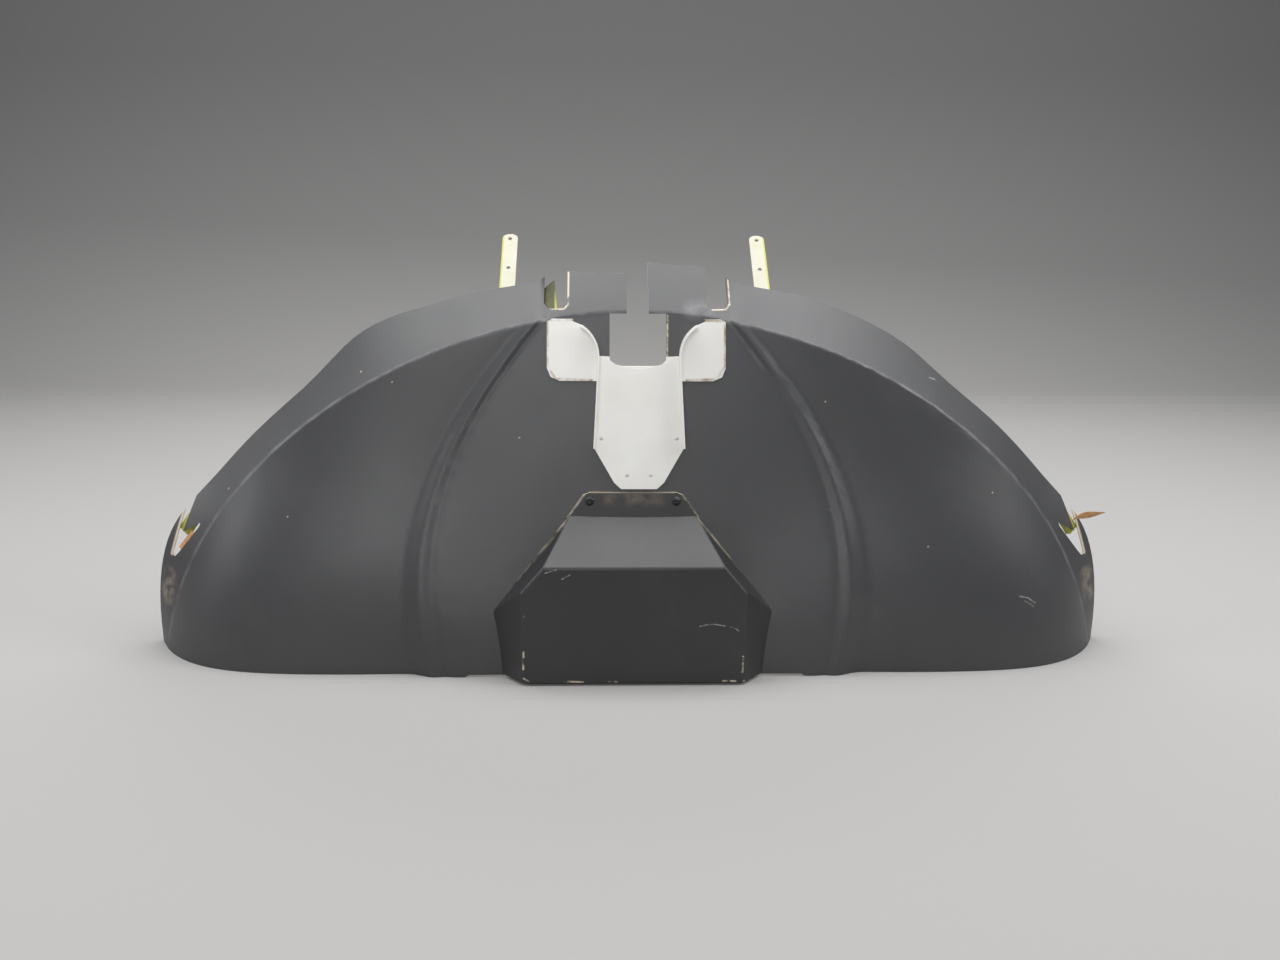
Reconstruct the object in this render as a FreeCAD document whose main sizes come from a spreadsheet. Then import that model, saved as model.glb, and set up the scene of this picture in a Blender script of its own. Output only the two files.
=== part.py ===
import FreeCAD, Part
import math
import os
import Sketcher
from FreeCAD import Placement, Rotation, Vector

# Aircraft glare shield, standing on its aft edge as it rests on a floor
# X is across the cabin, Y runs from the crown side to the hollow side, Z is up, all in millimetres

doc = FreeCAD.newDocument("glare_shield")


# Driving dimensions

SIZES = {
    # the moulded shell and its crease, an arch set back from the aft edge
    "wall": 2.5,
    "crease_half_width": 556.0,
    "crease_rise": 400.0,
    "crease_depth": 80.0,
    "crease_fullness": 1.88,
    "arch_foot": 40.0,
    "crease_round": 4.0,
    "lean_power": 1.25,
    "corner_power": 11.5,
    "corner_reach": 6.9,
    # the raised middle between the two lobes
    "rib_foot": 197.0,
    "rib_waist": 248.0,
    "rib_head": 102.0,
    "rib_height": 8.5,
    "rib_height_top": 4.5,
    "rib_crest": 18.0,
    "rib_width": 29.0,
    "groove_depth": 2.0,
    "lobe_swell": 7.0,
    "lift_of_middle": 3.0,
    # the forward band outside the crease
    "band_out": 46.0,
    "band_back": 45.0,
    "band_trim": 15.0,
    "kink_place": 318.0,
    "tab_rise": 9.0,
    "flange_spread": 16.0,
    "flange_foot": 40.0,
    # slots, tabs and the notch for the windshield post
    "slot_outer": 104.0,
    "slot_width": 25.0,
    "slot_floor": 402.0,
    "slot_radius": 5.0,
    "tab_gap": 24.5,
    "tab_top_left": 441.0,
    "tab_top_right": 452.0,
    "tab_slope": 8.0,
    "notch_width": 63.0,
    "notch_floor": 341.0,
    "notch_shoulder": 398.0,
    "notch_corner": 6.0,
    # the slits that part the end of the band from the side flanges
    "slit_top": 171.0,
    "slit_tip": 108.0,
    "slit_inset": 11.0,
    "slit_lean": 18.0,
    "flap_inset": 25.0,
    "flap_tip": 137.0,
    "flap_root": 151.0,
    "flap_width": 25.0,
    # the hood over the middle
    "hood_shift": -3.5,
    "hood_wall": 2.0,
    "hood_front": -37.0,
    "hood_base": 24.0,
    "hood_half_width": 122.0,
    "hood_height": 136.0,
    "hood_shoulder": 100.0,
    "hood_bevel": 26.0,
    "hood_side_run": 57.0,
    "hood_clear": 4.0,
    "hood_edge_radius": 5.0,
    "flange_low": 176.0,
    "flange_high": 204.0,
    "flange_half_width": 56.0,
    "flange_spill": 18.0,
    "screw_spacing": 97.0,
    "screw_height": 194.5,
    "screw_size": 4.0,
    "screw_head": 7.4,
    "washer_size": 10.4,
    "washer_rise": 1.8,
    # the channel that carries the windshield post and the plate behind it
    "post_shift": 3.0,
    "sheet_gauge": 1.6,
    "channel_half_width": 51.0,
    "channel_neck": 46.0,
    "channel_wall": 12.0,
    "channel_top": 343.0,
    "channel_turn": 352.0,
    "channel_shoulder": 254.0,
    "channel_tip": 208.0,
    "tip_half_width": 20.0,
    "flare_radius": 38.0,
    "flare_turn": 60.0,
    "post_hole": 4.2,
    "upper_hole_spacing": 84.0,
    "upper_hole_rise": 9.0,
    "lower_hole_spacing": 26.0,
    "lower_hole_rise": 15.0,
    "ear_reach": 100.0,
    "ear_low": 325.0,
    "ear_high": 392.0,
    "ear_radius": 14.0,
    # the two legs and their base plates
    "leg_place": 148.0,
    "leg_width": 18.0,
    "leg_flange": 16.0,
    "leg_gauge": 1.6,
    "leg_start": 10.0,
    "leg_length": 136.0,
    "leg_tip_radius": 6.0,
    "leg_hole": 4.8,
    "leg_hole_inset": 8.0,
    "leg_hole_low": 78.0,
    "leg_base_inner_left": 92.0,
    "leg_base_inner_right": 110.0,
    "leg_base_outer": 166.0,
    "leg_rivet": 4.0,
    "leg_rivet_first": 9.0,
    "leg_rivet_pitch": 24.0,
    # the small brackets that bridge each slit from inside and the strips that lie on them
    "end_bracket_length": 34.0,
    "end_bracket_width": 18.0,
    "end_bracket_lip": 7.0,
    "end_bracket_height": 157.0,
    "strip_length": 34.0,
    "strip_width": 9.0,
    "strip_gauge": 0.8,
    # fits
    "seat_gap": 0.2,
    "hole_clearance": 0.3,
}

sheet = doc.addObject("Spreadsheet::Sheet", "Sizes")
for row, (word, value) in enumerate(SIZES.items(), start=1):
    sheet.set("A%d" % row, word)
    sheet.set("B%d" % row, str(value))
    sheet.setAlias("B%d" % row, word)
doc.recompute()


class Size:
    """A number together with the sheet formula that it comes from."""

    def __init__(self, value, formula):
        self.value = float(value)
        self.formula = formula

    def joined(self, other, sign, result):
        formula = other.formula if isinstance(other, Size) else repr(float(other))
        return Size(result, "(%s %s %s)" % (self.formula, sign, formula))

    def __add__(self, other):
        return self.joined(other, "+", self.value + number(other))

    def __sub__(self, other):
        return self.joined(other, "-", self.value - number(other))

    def __mul__(self, other):
        return self.joined(other, "*", self.value * number(other))

    def __truediv__(self, other):
        return self.joined(other, "/", self.value / number(other))

    def __neg__(self):
        return Size(-self.value, "(0 - %s)" % self.formula)


def number(thing):
    return thing.value if isinstance(thing, Size) else float(thing)


def size(word):
    return Size(getattr(sheet, word), "Sizes." + word)


def mm(word):
    return float(getattr(sheet, word))


def bind(target, name, amount):
    if isinstance(amount, Size):
        target.setExpression(name, amount.formula)
    else:
        setattr(target, name, amount)


# Ways of making a solid

def body(name):
    made = doc.addObject("PartDesign::Body", name)
    made.Label = name
    return made


def plane_of(owner, role):
    for feature in owner.Origin.OriginFeatures:
        if feature.Role == role:
            return feature


def sketch_on(owner, role, name):
    made = owner.newObject("Sketcher::SketchObject", name)
    made.AttachmentSupport = [(plane_of(owner, role), "")]
    made.MapMode = "FlatFace"
    return made


def hold(sketch, geometry, corner, x, y):
    """Tie one point of a sketch to its two sizes."""
    for kind, amount in (("DistanceX", x), ("DistanceY", y)):
        place = sketch.addConstraint(Sketcher.Constraint(kind, -1, 1, geometry, corner, number(amount)))
        if isinstance(amount, Size):
            sketch.setExpression("Constraints[%d]" % place, amount.formula)


def polygon(sketch, corners):
    """A closed outline of straight edges whose corners follow the sheet."""
    count = len(corners)
    first = sketch.GeometryCount
    for index, (x, y) in enumerate(corners):
        next_x, next_y = corners[(index + 1) % count]
        start = Vector(number(x), number(y), 0)
        end = Vector(number(next_x), number(next_y), 0)
        sketch.addGeometry(Part.LineSegment(start, end), False)
    for index, (x, y) in enumerate(corners):
        before = first + (index - 1) % count
        sketch.addConstraint(Sketcher.Constraint("Coincident", before, 2, first + index, 1))
        hold(sketch, first + index, 1, x, y)


def circle(sketch, x, y, diameter):
    centre = Vector(number(x), number(y), 0)
    made = sketch.addGeometry(Part.Circle(centre, Vector(0, 0, 1), number(diameter) / 2), False)
    hold(sketch, made, 3, x, y)
    place = sketch.addConstraint(Sketcher.Constraint("Diameter", made, number(diameter)))
    if isinstance(diameter, Size):
        sketch.setExpression("Constraints[%d]" % place, diameter.formula)


def pad(owner, sketch, name, length, symmetric=False, reversed_way=False):
    made = owner.newObject("PartDesign::Pad", name)
    made.Profile = sketch
    bind(made, "Length", length)
    made.Midplane = symmetric
    made.Reversed = reversed_way
    return made


def pocket_through(owner, sketch, name):
    made = owner.newObject("PartDesign::Pocket", name)
    made.Profile = sketch
    made.Type = "ThroughAll"
    made.Midplane = True
    return made


def revolve(owner, sketch, name):
    made = owner.newObject("PartDesign::Revolution", name)
    made.Profile = sketch
    made.ReferenceAxis = (sketch, ["V_Axis"])
    made.Angle = 360
    return made


CUT_DEPTH = 600.0


def cutter(name, corners):
    """A prism through the whole depth, drawn as seen from the crown side."""
    owner = body(name)
    outline = sketch_on(owner, "XZ_Plane", name + "_outline")
    polygon(outline, corners)
    pad(owner, outline, name + "_pad", CUT_DEPTH, symmetric=True)
    return owner


def solid_feature(name, shape):
    made = doc.addObject("Part::Feature", name)
    made.Label = name
    made.Shape = shape
    return made


def cut(name, base, tools):
    """One cut after another; the last of them is the piece."""
    made = base
    for count, tool in enumerate(tools, start=1):
        last = count == len(tools)
        step = doc.addObject("Part::Cut", name if last else "%s_cut_%d" % (name, count))
        step.Base = made
        step.Tool = tool
        step.Refine = False
        made = step
    made.Label = name
    return made


def common(name, base, tool):
    made = doc.addObject("Part::Common", name)
    made.Base = base
    made.Tool = tool
    made.Label = name
    return made


def fuse(name, shapes):
    made = doc.addObject("Part::MultiFuse", name)
    made.Shapes = shapes
    made.Label = name
    return made


def group(name, members):
    made = doc.addObject("Part::Compound", name)
    made.Links = members
    made.Label = name
    return made


# The form of the shell: a leaning face inside an arched crease, and a band that turns back outside it

FACE_ROWS = mm("crease_rise")
BAND_ROWS = 60.0
ROWS_TOTAL = FACE_ROWS + BAND_ROWS
LAST_FOOT = mm("crease_half_width") * 0.98
RIB_FOOT = mm("rib_foot")
LOBE_FOOT = RIB_FOOT + mm("rib_crest") + mm("rib_width") + 15.0
ARCH_TOP = mm("crease_rise") + mm("arch_foot")
RIB_LINE_ANGLE = 11.7
EVEN_FOOT = LOBE_FOOT
LAST_ANGLE = 2.0


def smooth(value, low, high):
    """0 below low, 1 above high, with an even S between them."""
    part = min(1.0, max(0.0, (value - low) / (high - low)))
    return part * part * (3 - 2 * part)


def crease_point(angle):
    """The crease seen from the crown side, from 0 at the right foot to 90 degrees at the top."""
    power = 2 / mm("crease_fullness")
    across = math.copysign(abs(math.cos(angle)) ** power, math.cos(angle))
    up = abs(math.sin(angle)) ** power
    return mm("crease_half_width") * across, ARCH_TOP * up - mm("arch_foot")


def crease_angle(foot):
    """Where on the crease a line ends that starts at this place on the aft edge."""
    reach = abs(foot)
    slope = RIB_LINE_ANGLE / mm("rib_foot")
    if reach <= EVEN_FOOT:
        degrees = 90 - slope * reach
    else:
        part = (reach - EVEN_FOOT) / (LAST_FOOT - EVEN_FOOT)
        start = 90 - slope * EVEN_FOOT
        even = slope * (LAST_FOOT - EVEN_FOOT)
        degrees = start - even * part - (start - LAST_ANGLE - even) * part ** 1.6
    angle = math.radians(degrees)
    return angle if foot >= 0 else math.pi - angle


def bezier(points, part):
    rest = 1 - part
    weights = (rest ** 3, 3 * rest ** 2 * part, 3 * rest * part ** 2, part ** 3)
    return sum(weight * point for weight, point in zip(weights, points))


def face_place(foot, part):
    """A point of the face seen from the crown side, on the line that starts at foot."""
    top_x, top_z = crease_point(crease_angle(foot))
    reach = abs(foot)
    top_x = abs(top_x)
    bow = mm("rib_waist") - mm("rib_foot")
    lean_in = mm("rib_foot") - mm("rib_head")
    if reach <= mm("rib_foot"):
        share = reach / mm("rib_foot")
        xs = (reach, reach + bow * share ** 2, reach + bow * share ** 2, top_x)
    else:
        share = 1 - smooth(reach, mm("rib_foot"), LAST_FOOT)
        run = top_x - reach
        xs = (reach, reach + 0.3 * run + (bow + 0.3 * lean_in) * share,
              reach + 0.6 * run + (bow + 0.6 * lean_in) * share, top_x)
    foot_z = -mm("arch_foot")
    rise = top_z - foot_z
    zs = (foot_z, foot_z + 0.34 * rise, foot_z + 0.61 * rise, top_z)
    return math.copysign(bezier(xs, part), foot), bezier(zs, part)


def face_depth(x, z):
    """How far back the face lies: it leans at the top and rounds back at the two lower corners."""
    across = abs(x) / mm("crease_half_width")
    up = max(z + mm("arch_foot"), 0.0) / ARCH_TOP
    radius = (across ** mm("crease_fullness") + up ** mm("crease_fullness")) ** (1 / mm("crease_fullness"))
    if radius == 0:
        return 0.0
    sideways = across / math.hypot(across, up)
    power = mm("lean_power") + (mm("corner_power") - mm("lean_power")) * sideways ** mm("corner_reach")
    return mm("crease_depth") * radius ** power


def relief(foot, part):
    """How far the face stands forward: the raised middle with its ribs, and the swell of the lobes."""
    reach = abs(foot)
    crest = RIB_FOOT + mm("rib_crest")
    height = mm("rib_height") * (1 - part) ** 0.8 + mm("rib_height_top")
    raised = height * (1 - smooth(reach, crest, crest + mm("rib_width")))
    groove = smooth(reach, RIB_FOOT - 3.0, RIB_FOOT + 4.0) * (1 - smooth(reach, RIB_FOOT + 5.0, crest + 3.0))
    lobe = min(1.0, max(0.0, (reach - RIB_FOOT) / (LAST_FOOT * 0.91 - RIB_FOOT)))
    swell = mm("lobe_swell") * math.sin(math.pi * lobe) * (0.4 + 0.6 * part)
    return raised - mm("groove_depth") * groove + swell


def band_reach(x, z):
    """How far the band reaches outward and back at this place of the crease."""
    reach = abs(x)
    out = mm("band_out") - 6.0 * (1 - smooth(reach, 120.0, 190.0))
    out = out + (mm("tab_rise") + 6.0) * (1 - smooth(reach, 82.0, 104.0))
    trimmed = mm("band_trim") * smooth(reach, mm("kink_place") - 22.0, mm("kink_place") + 2.0)
    spread = mm("flange_spread") * (1 - smooth(z, mm("slit_top") - 18.0, mm("slit_top") + 4.0))
    foot = mm("flange_foot") * (1 - smooth(z, -45.0, 140.0))
    back = mm("band_back") - 0.7 * trimmed - 0.3 * foot
    return out - trimmed + spread - foot, back


def crown(foot, row):
    """A point of the outer surface. Rows run up the face to the crease, then across the band."""
    angle = crease_angle(foot)
    crease_x, crease_z = crease_point(angle)
    if row <= FACE_ROWS:
        part = row / FACE_ROWS
        x, z = face_place(foot, part)
        return Vector(x, face_depth(x, z) - relief(foot, part), z)
    step = 0.001
    before = crease_point(angle - step)
    after = crease_point(angle + step)
    along = Vector(after[0] - before[0], 0, after[1] - before[1]).normalize()
    outward = Vector(along.z, 0, -along.x)
    if outward.x * crease_x + outward.z * (crease_z + mm("arch_foot")) < 0:
        outward = outward * -1
    out, back = band_reach(crease_x, crease_z)
    part = (row - FACE_ROWS) / BAND_ROWS
    raised = relief(foot, 1.0)
    start = Vector(crease_x, face_depth(crease_x, crease_z) - raised, crease_z)
    return start + outward * (out * part) + Vector(0, (back + raised) * part, 0)


RIB_STATIONS = (-67.0, -32.0, -12.0, -4.0, 0.0, 4.0, 9.0, 15.0, 22.0, 32.0, 44.0)
LOBE_SHARES = (0.0, 0.07, 0.15, 0.23, 0.31, 0.39, 0.47, 0.55, 0.63, 0.71, 0.79, 0.86, 0.92, 0.965, 1.0)
FACE_SHARES = (0.0, 0.2, 0.4, 0.6, 0.8, 0.93)
ROUND = mm("crease_round")
STATIONS = [0.0, RIB_FOOT * 0.35] + [RIB_FOOT + place for place in RIB_STATIONS]
STATIONS += [LOBE_FOOT + (LAST_FOOT - LOBE_FOOT) * share for share in LOBE_SHARES]
FEET = [-place for place in reversed(STATIONS[1:])] + STATIONS
ROWS = [FACE_ROWS * share for share in FACE_SHARES] + [FACE_ROWS - ROUND]
ROWS += [FACE_ROWS, FACE_ROWS + ROUND, FACE_ROWS + BAND_ROWS * 0.25, FACE_ROWS + BAND_ROWS * 0.5, ROWS_TOTAL]


def control_places(knots):
    """Where the control points of a cubic with these knots lie, so that it runs evenly."""
    padded = [knots[0]] * 3 + list(knots) + [knots[-1]] * 3
    return [sum(padded[index + 1:index + 4]) / 3 for index in range(len(knots) + 2)]


CONTROL_FEET = control_places(FEET)
CONTROL_ROWS = control_places(ROWS)
CONTROL_GRID = [[crown(foot, row) for row in CONTROL_ROWS] for foot in CONTROL_FEET]


def inward_at(column, row):
    """The direction into the wall at one control point."""
    last_column = len(CONTROL_GRID) - 1
    last_row = len(CONTROL_GRID[0]) - 1
    across = CONTROL_GRID[min(column + 1, last_column)][row] - CONTROL_GRID[max(column - 1, 0)][row]
    up = CONTROL_GRID[column][min(row + 1, last_row)] - CONTROL_GRID[column][max(row - 1, 0)]
    return up.cross(across).normalize()


def skin(depth):
    """The shell's surface moved into the wall by depth, or out of it where depth is negative."""
    poles = []
    for column, line in enumerate(CONTROL_GRID):
        poles.append([point + inward_at(column, row) * depth for row, point in enumerate(line)])
    surface = Part.BSplineSurface()
    feet_counts = [4] + [1] * (len(FEET) - 2) + [4]
    row_counts = [4] + [1] * (len(ROWS) - 2) + [4]
    surface.buildFromPolesMultsKnots(poles, feet_counts, row_counts, FEET, ROWS, False, False, 3, 3)
    return surface


def layer(feet, rows, near, far):
    """A sheet that follows the shell between two depths, over a range of feet and rows."""
    surfaces = (skin(near), skin(far))
    faces = []
    for surface in surfaces:
        for foot, next_foot in zip(feet, feet[1:]):
            for row, next_row in zip(rows, rows[1:]):
                faces.append(surface.toShape(foot, next_foot, row, next_row))
    for foot, next_foot in zip(feet, feet[1:]):
        for row in (rows[0], rows[-1]):
            edges = [surface.vIso(row).toShape(foot, next_foot) for surface in surfaces]
            faces.append(Part.makeRuledSurface(*edges))
    for row, next_row in zip(rows, rows[1:]):
        for foot in (feet[0], feet[-1]):
            edges = [surface.uIso(foot).toShape(row, next_row) for surface in surfaces]
            faces.append(Part.makeRuledSurface(*edges))
    closed = Part.makeShell(faces)
    closed.sewShape()
    return Part.makeSolid(closed)


def seat(foot, row, depth):
    """A place on the shell at a depth: its point, its inward direction and its direction up the rows."""
    surface = skin(depth)
    point = surface.value(foot, row)
    across = surface.value(foot + 1, row) - surface.value(foot - 1, row)
    up = surface.value(foot, row + 1) - surface.value(foot, row - 1)
    inward = up.cross(across).normalize()
    return point, inward, up.normalize()


def foot_at(x, row, low=0.0):
    """The foot whose line passes this distance from the middle at a row."""
    high = LAST_FOOT
    for _ in range(40):
        middle = (low + high) / 2
        if crown(middle, row).x < abs(x):
            low = middle
        else:
            high = middle
    return math.copysign((low + high) / 2, x)


def facing(point, inward, up):
    """A placement whose Z axis points into the wall and whose Y axis runs up the rows."""
    sideways = up.cross(inward).normalize()
    true_up = inward.cross(sideways)
    matrix = FreeCAD.Matrix(sideways.x, true_up.x, inward.x, point.x,
                            sideways.y, true_up.y, inward.y, point.y,
                            sideways.z, true_up.z, inward.z, point.z,
                            0, 0, 0, 1)
    return Placement(matrix)


# Shell

FAR = 700.0
wall = size("wall")
MIDDLE_FOOT = RIB_FOOT - 32.0
OUTER_FOOT = LOBE_FOOT + (LAST_FOOT - LOBE_FOOT) * 0.6
shell_blank = solid_feature("shell_blank", layer(
    [-LAST_FOOT, -OUTER_FOOT, -LOBE_FOOT, -MIDDLE_FOOT, MIDDLE_FOOT, LOBE_FOOT, OUTER_FOOT, LAST_FOOT],
    [0.0, FACE_ROWS * 0.4, FACE_ROWS * 0.93, FACE_ROWS + ROUND, ROWS_TOTAL], 0.0, mm("wall")))

floor_cut = cutter("floor_cut", [(-FAR, -FAR / 4), (FAR, -FAR / 4), (FAR, 0.0), (-FAR, 0.0)])
middle_reach = size("rib_foot") + 4.0
lift_cut = cutter("lift_cut", [
    (-middle_reach, -5.0), (middle_reach, -5.0),
    (size("rib_foot") - 10.0, size("lift_of_middle")), (-size("rib_foot") + 10.0, size("lift_of_middle"))])


def slot_cut(name, side):
    outer = size("slot_outer") * side
    inner = (size("slot_outer") - size("slot_width")) * side
    low = size("slot_floor")
    corner = size("slot_radius")
    return cutter(name, [
        (outer, FAR), (outer, low + corner), (outer - corner * side, low),
        (inner + corner * side, low), (inner, low + corner), (inner, FAR)])


notch_half = size("notch_width") / 2
gap_half = size("tab_gap") / 2
post = size("post_shift") / 2
notch_cut = cutter("notch_cut", [
    (post - gap_half, FAR), (post - gap_half, size("notch_shoulder")),
    (post - notch_half, size("notch_shoulder")),
    (post - notch_half, size("notch_floor") + size("notch_corner")),
    (post - notch_half + size("notch_corner"), size("notch_floor")),
    (post + notch_half - size("notch_corner"), size("notch_floor")),
    (post + notch_half, size("notch_floor") + size("notch_corner")),
    (post + notch_half, size("notch_shoulder")),
    (post + gap_half, size("notch_shoulder")), (post + gap_half, FAR)])
left_top_cut = cutter("left_top_cut", [
    (-size("slot_outer") + 1.0, size("tab_top_left")), (post, size("tab_top_left") - 2.0),
    (post, FAR), (-size("slot_outer") + 1.0, FAR)])
right_top_cut = cutter("right_top_cut", [
    (post, size("tab_top_right")), (size("slot_outer") - 1.0, size("tab_top_right") - size("tab_slope")),
    (size("slot_outer") - 1.0, FAR), (post, FAR)])


def slit_cut(name, side):
    """The opening beside the end of the band: outside its pointed flap and inside the side flange."""
    half_width = size("crease_half_width")
    front_edge = half_width - size("slit_inset")
    flap = half_width - size("flap_inset")
    root = flap - size("flap_width")
    top = size("slit_top")
    tip = size("slit_tip")
    corners = [
        (front_edge, tip + 2.0), (front_edge - size("slit_lean"), top), (half_width + 20.0, top),
        (half_width + 20.0, top + 45.0), (flap - 29.0, top + 45.0), (flap - 18.0, top + 13.0),
        (flap, size("flap_tip")), (root, size("flap_root")), (root + 1.0, size("flap_root") - 4.0),
        (flap + 4.0, tip + 6.0), (front_edge - 4.0, tip)]
    return cutter(name, [(x * side, z) for x, z in corners])


post_hole_places = []
hole_rows = (
    ("upper_hole_spacing", size("channel_shoulder") + size("upper_hole_rise")),
    ("lower_hole_spacing", size("channel_tip") + size("lower_hole_rise")))
for spacing, height in hole_rows:
    for side in (-1, 1):
        post_hole_places.append((size("post_shift") + size(spacing) * (side / 2), height))


def drill(name, places, diameter):
    """Round holes drilled straight back through everything."""
    owner = body(name)
    outline = sketch_on(owner, "XZ_Plane", name + "_outline")
    for x, z in places:
        circle(outline, x, z, diameter)
    pad(owner, outline, name + "_pad", CUT_DEPTH, symmetric=True)
    return owner


def square_bores(name, placement, places, diameter, depth):
    """Round holes drilled square to a seat, equally far to both sides of it."""
    owner = body(name)
    outline = sketch_on(owner, "XY_Plane", name + "_outline")
    for x, y in places:
        circle(outline, x, y, diameter)
    pad(owner, outline, name + "_pad", depth, symmetric=True)
    owner.Placement = placement
    return owner


def screw_seat(side):
    """Where a hood screw stands: square on the face of the flange, its head toward the crown."""
    x = mm("hood_shift") + side * mm("screw_spacing") / 2
    z = mm("screw_height")
    depth = -mm("seat_gap") - mm("hood_wall")
    surface = skin(depth)
    line = Part.makeLine(Vector(x, -200, z), Vector(x, 400, z))
    hit = surface.toShape(-LOBE_FOOT, LOBE_FOOT, 0, FACE_ROWS).distToShape(line)[1][0][0]
    foot, row = surface.parameter(hit)
    point, inward, up = seat(foot, row, depth)
    return facing(point, inward * -1, up)


post_drill = drill("post_drill", post_hole_places, size("post_hole"))
SCREW_SEATS = [screw_seat(-1), screw_seat(1)]
screw_hole = size("screw_size") + size("hole_clearance")
screw_bores = [
    square_bores(name, placement, [(0.0, 0.0)], screw_hole, 40.0)
    for name, placement in zip(("left_screw_bore", "right_screw_bore"), SCREW_SEATS)]

shell = cut("shell", shell_blank, [
    floor_cut, lift_cut, slot_cut("left_slot", -1), slot_cut("right_slot", 1), notch_cut,
    left_top_cut, right_top_cut, slit_cut("left_slit", -1), slit_cut("right_slit", 1),
    post_drill] + screw_bores)


# Hood: a thin box that stands on the raised middle, open below, with a flange along its top

def middle_behind(gap):
    """Everything behind the raised middle, from a gap in front of it."""
    face = skin(-gap).toShape(-LOBE_FOOT, LOBE_FOOT, 0, FACE_ROWS + ROUND)
    return face.extrude(Vector(0, 200, 0))


behind_face = solid_feature("behind_face", middle_behind(mm("seat_gap")))


def hood_form(name, inset):
    """The tapered box of the hood, drawn on its base plane and on its front and lofted."""
    owner = body(name)
    shift = size("hood_shift")
    spread = size("hood_side_run")
    rings = []
    low = -20.0
    front_rings = [
        (size("hood_shoulder") - inset, size("hood_height") - inset),
        (size("hood_half_width") - inset, size("hood_height") - size("hood_bevel") - inset / 2),
        (size("hood_half_width") - inset, low)]
    knee = size("hood_half_width") + spread
    top_x = size("flange_half_width") + 15.5
    top_z = size("flange_low") + 2.0
    slope = size("hood_bevel") / (size("hood_half_width") - size("hood_shoulder"))
    base_rings = [
        (top_x - inset, top_z - inset * 1.4),
        (knee - inset * 1.2, top_z - (knee - top_x) * slope - inset),
        (knee - inset * 1.2, low)]
    ends = (("base", base_rings, size("hood_base")), ("front", front_rings, size("hood_front") + inset))
    for label, ring, depth in ends:
        outline = sketch_on(owner, "XZ_Plane", name + "_" + label)
        outline.AttachmentOffset = Placement(Vector(0, 0, -number(depth)), Rotation())
        if isinstance(depth, Size):
            outline.setExpression("AttachmentOffset.Base.z", (-depth).formula)
        right = [(shift + x, z) for x, z in ring]
        left = [(shift - x, z) for x, z in reversed(ring)]
        polygon(outline, right + left)
        rings.append(outline)
    made = owner.newObject("PartDesign::AdditiveLoft", name + "_loft")
    made.Profile = rings[0]
    made.Sections = [rings[1]]
    made.Ruled = True
    return owner


hood_outer = hood_form("hood_outer", 0.0)
hood_inner = hood_form("hood_inner", mm("hood_wall"))
doc.recompute()


def long_edges(shape, front):
    """The bent edges of the hood: its front outline and the ridges that run back from it."""
    chosen = []
    for number_of_edge, edge in enumerate(shape.Edges, start=1):
        ends = [vertex.Point for vertex in edge.Vertexes]
        low = all(end.z < -5 for end in ends)
        at_base = all(end.y > front + 30 for end in ends)
        if not low and not at_base:
            chosen.append(number_of_edge)
    return chosen


def rounded(name, base, radius):
    made = doc.addObject("Part::Fillet", name)
    made.Base = base
    made.Edges = [(index, radius, radius) for index in long_edges(base.Shape, mm("hood_front"))]
    return made


hood_outer_round = rounded("hood_outer_round", hood_outer, mm("hood_edge_radius"))
hood_inner_round = rounded("hood_inner_round", hood_inner, mm("hood_edge_radius") - mm("hood_wall"))
hood_low_cut = cutter("hood_low_cut", [
    (-FAR, -FAR / 4), (FAR, -FAR / 4), (FAR, size("hood_clear")), (-FAR, size("hood_clear"))])
shift = size("hood_shift")
flange_high = size("flange_high")
flange_corner = 8.0
flange_half = size("flange_half_width")
flange_prism = cutter("flange_prism", [
    (shift - flange_half, flange_high - 3.0), (shift - flange_half + flange_corner, flange_high),
    (shift + flange_half - flange_corner, flange_high), (shift + flange_half, flange_high - 3.0),
    (shift + flange_half + size("flange_spill"), size("flange_low")),
    (shift - flange_half - size("flange_spill"), size("flange_low"))])
flange_sheet = solid_feature("flange_sheet", layer(
    [-MIDDLE_FOOT, MIDDLE_FOOT], [FACE_ROWS * 0.4, FACE_ROWS * 0.8],
    -mm("seat_gap") - mm("hood_wall"), -mm("seat_gap")))
hood_flange = common("hood_flange", flange_sheet, flange_prism)
hood_walls = cut("hood_walls", hood_outer_round, [behind_face, hood_low_cut])
hood_hollow = cut("hood_hollow", hood_walls, [hood_inner_round])
hood_joined = fuse("hood_joined", [hood_hollow, hood_flange])
hood = cut("hood", hood_joined, screw_bores)


# Hood screws with their finishing washers and the nutplates behind the shell

GRIP = mm("seat_gap") * 2 + mm("hood_wall") + mm("wall")
NUTPLATE_BACK = 4.5


def turned(name, outline):
    """A turned piece about its own vertical axis, drawn as half its section."""
    owner = body(name)
    half = sketch_on(owner, "XZ_Plane", name + "_half")
    polygon(half, outline)
    revolve(owner, half, name + "_turn")
    return owner


screw_radius = size("screw_size") / 2
head_radius = size("screw_head") / 2
washer_radius = size("washer_size") / 2
washer_rise = size("washer_rise")
screw_form = turned("screw_form", [
    (0.0, -11.0), (screw_radius, -11.0), (screw_radius, 0.6), (head_radius, washer_rise + 0.4),
    (head_radius - 0.6, washer_rise + 1.1), (0.0, washer_rise + 1.1)])
washer_form = turned("washer_form", [
    (screw_radius + size("hole_clearance") / 2, 0.0), (washer_radius, 0.0),
    (head_radius + 0.5, washer_rise), (head_radius + 0.15, washer_rise + 0.25),
    (screw_radius + size("hole_clearance") / 2, 0.45)])
nutplate_form = body("nutplate_form")
nut_outline = sketch_on(nutplate_form, "XY_Plane", "nut_outline")
polygon(nut_outline, [(-5.0, -11.0), (5.0, -11.0), (5.0, 11.0), (-5.0, 11.0)])
circle(nut_outline, 0.0, 0.0, size("screw_size") + size("hole_clearance"))
pad(nutplate_form, nut_outline, "nut_plate", 1.0)
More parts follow.
